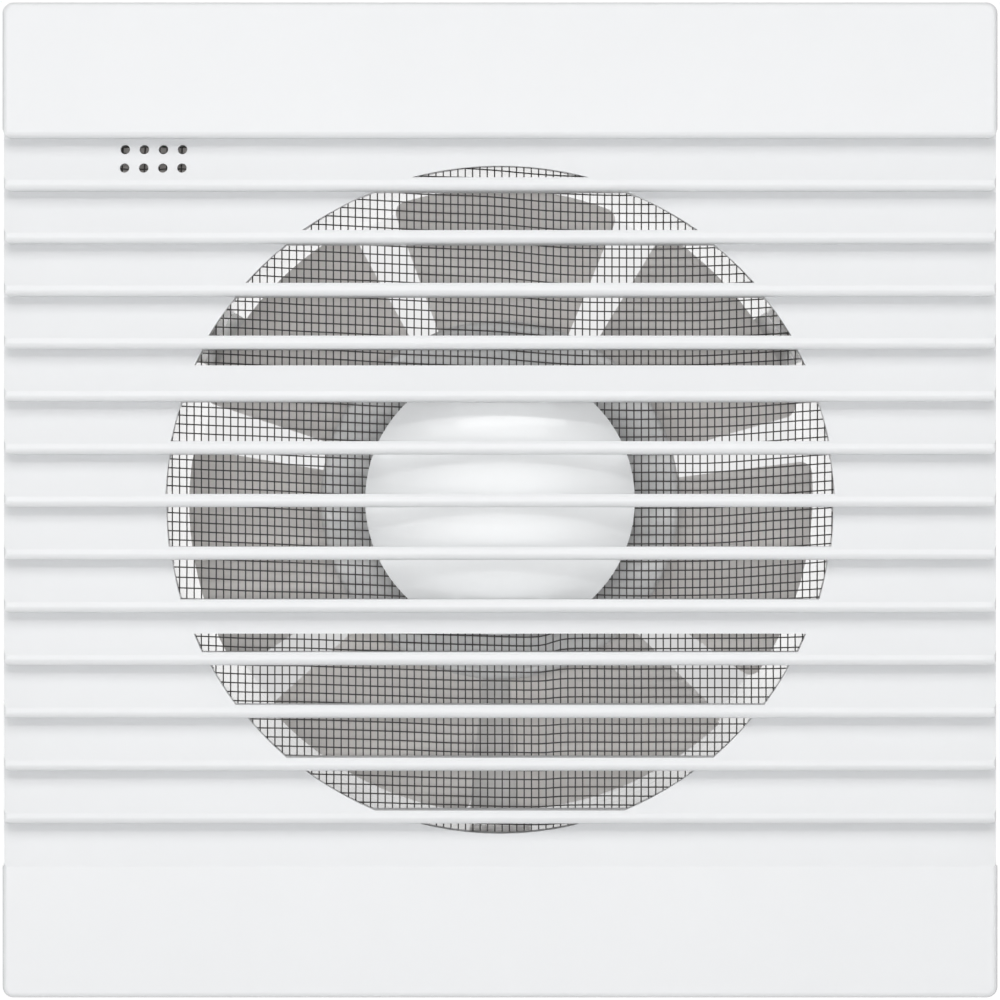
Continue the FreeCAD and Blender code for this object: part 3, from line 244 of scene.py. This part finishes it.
def weave(name, inside, x0, x1, z0, z1, put, hang=slack):
    """plain weave of two wire sets, cut off where inside(x, z) turns false;
    put(x, z, lift) gives the place of a cloth point, lift measured square to the cloth."""
    verts, faces = [], []
    cols = int((x1 - x0) / PITCH_X) + 1
    rows = int((z1 - z0) / PITCH_Z) + 1
    lift = WIRE_R * 1.02

    def cloth(i, j):
        gx, gz = x0 + i * PITCH_X, z0 + j * PITCH_Z
        dx, dz = hang(gx, gz)
        return gx + dx, gz + dz

    def cut(i, j, di, dj, side):
        """end of a wire on its way from the crossing i, j to the next one outside."""
        low, high = 0.0, 1.0
        for _ in range(10):
            t = (low + high) / 2
            if inside(*cloth(i + di * t, j + dj * t)):
                low = t
            else:
                high = t
        x, z = cloth(i + di * low, j + dj * low)
        return [put(x, z, side * lift * (1.0 - 2.0 * low))] if low > 0.1 else []

    for first, second, di, dj, sign in ((cols, rows, 0, 1, 1), (rows, cols, 1, 0, -1)):
        for a in range(first):
            run = []
            for c in range(second + 1):
                i, j = (a, c) if dj else (c, a)
                side = sign if (i + j) % 2 else -sign
                if c < second and inside(*cloth(i, j)):
                    if not run and c > 0:
                        run = cut(i, j, -di, -dj, side)
                    run.append(put(*cloth(i, j), side * lift))
                elif run:
                    if c < second:
                        run += cut(i - di, j - dj, di, dj, -side)
                    if len(run) > 1:
                        tube(run, WIRE_R, verts, faces)
                    run = []
    me = bpy.data.meshes.new(name)
    me.from_pydata(verts, [], faces)
    me.update()
    for p in me.polygons:
        p.use_smooth = True
    ob = bpy.data.objects.new(name, me)
    scene.collection.objects.link(ob)
    me.materials.append(wire)
    return ob


mesh = weave("woven_screen", lambda x, z: 22.6 ** 2 < x * x + z * z < 64.1 ** 2, -64.0, 64.2,
             -64.2 - 2 * PITCH_Z, 64.2 + 2 * PITCH_Z,
             lambda x, z, lift: (x, -29.15 + lift, z))
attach(mesh, "front_cover")
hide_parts("insect_screen")
# the small patch lies parallel to the first slat, close behind it
SLOPE = 3.8 / 7.64
UN = math.sqrt(1.0 + SLOPE * SLOPE)
UP_Y, UP_Z, OUT_Y, OUT_Z = SLOPE / UN, 1.0 / UN, 1.0 / UN, -SLOPE / UN
BASE_Y = -40.0 + 0.5 * SLOPE + 1.8 * UN + 0.30 * OUT_Y
BASE_Z = 58.34 + 0.30 * OUT_Z


def on_slat(x, u, lift):
    return (x, BASE_Y + u * UP_Y + lift * OUT_Y, BASE_Z + u * UP_Z + lift * OUT_Z)


def taut(x, u):
    """the patch lies flat; only its first and last wires are drawn in to the edge."""
    return 0.03 * noise.noise(Vector((x * 0.3, u * 0.4, 5.2))), min(6.6, max(0.65, u)) - u


patch = weave("woven_patch", lambda x, z: True, -62.75 - 8.45, -62.75 + 8.6, 0.366, 6.95, on_slat, hang=taut)
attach(patch, "front_cover")
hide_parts("sensor_screen")

# ------------------------------------------------------------------ stage, light, camera
floor_mat = material("pale_floor", (0.90, 0.90, 0.90), 0.7, grain=12.0, tint=0.01, rough_var=0.05, bump=0.0)
bpy.ops.mesh.primitive_plane_add(size=6.0, location=(0, 0, -0.16))
floor = bpy.context.object
floor.name = "floor"
floor.data.materials.append(floor_mat)

world = bpy.data.worlds.new("studio")
scene.world = world
world.use_nodes = True
world.node_tree.nodes["Background"].inputs["Color"].default_value = (1.0, 1.0, 1.0, 1.0)
world.node_tree.nodes["Background"].inputs["Strength"].default_value = 0.35


def area(name, loc, target, size, power, colour=(1, 1, 1)):
    d = bpy.data.lights.new(name, "AREA")
    d.shape = "RECTANGLE"
    d.size, d.size_y = size
    d.energy = power
    d.color = colour
    o = bpy.data.objects.new(name, d)
    o.location = loc
    o.rotation_euler = (Vector(target) - Vector(loc)).to_track_quat("-Z", "Y").to_euler()
    scene.collection.objects.link(o)
    return o


area("key_front", (-0.05, -1.00, 0.0), (0, -0.03, 0), (1.0, 0.08), 3.9)
area("key_above", (-0.10, -1.00, 1.00), (0, -0.03, 0), (1.2, 1.0), 7.2)
area("strip_above", (0.10, -1.10, 0.67), (0, -0.03, 0), (0.95, 0.09), 1.3)
# white light panels behind: a bright frame round the object, calmer ones seen through the duct,
# and a core one that the hub hides and only the duct wall reflects
for name, x, y, z, size, glow in (("behind_top", 0.0, 0.5, 0.555, (1.4, 0.85), 2.1),
                                  ("behind_low", 0.0, 0.5, -0.315, (1.4, 0.37), 2.1),
                                  ("behind_left", -0.415, 0.5, 0.0, (0.57, 0.26), 2.1),
                                  ("behind_right", 0.415, 0.5, 0.0, (0.57, 0.26), 2.1),
                                  ("behind_upper", 0.0, 0.5, 0.055, (0.26, 0.15), 1.58),
                                  ("behind_lower", 0.0, 0.5, -0.075, (0.26, 0.11), 0.97),
                                  ("behind_core", 0.0, 0.495, 0.0125, (0.09, 0.065), 1.0)):
    panel = area(name, (x, y, z), (x, 0, z), size, glow * size[0] * size[1])
    panel.visible_camera = True

cam_data = bpy.data.cameras.new("camera")
cam = bpy.data.objects.new("camera", cam_data)
scene.collection.objects.link(cam)
DIST = 0.9
cam.location = (0.0, -0.040 - DIST, 0.0)
cam.rotation_euler = (math.radians(90), 0, 0)
cam_data.sensor_width = 36.0
cam_data.lens = 36.0 * DIST / 0.18072
cam_data.clip_end = 50.0
scene.camera = cam
scene.view_settings.view_transform = "Standard"
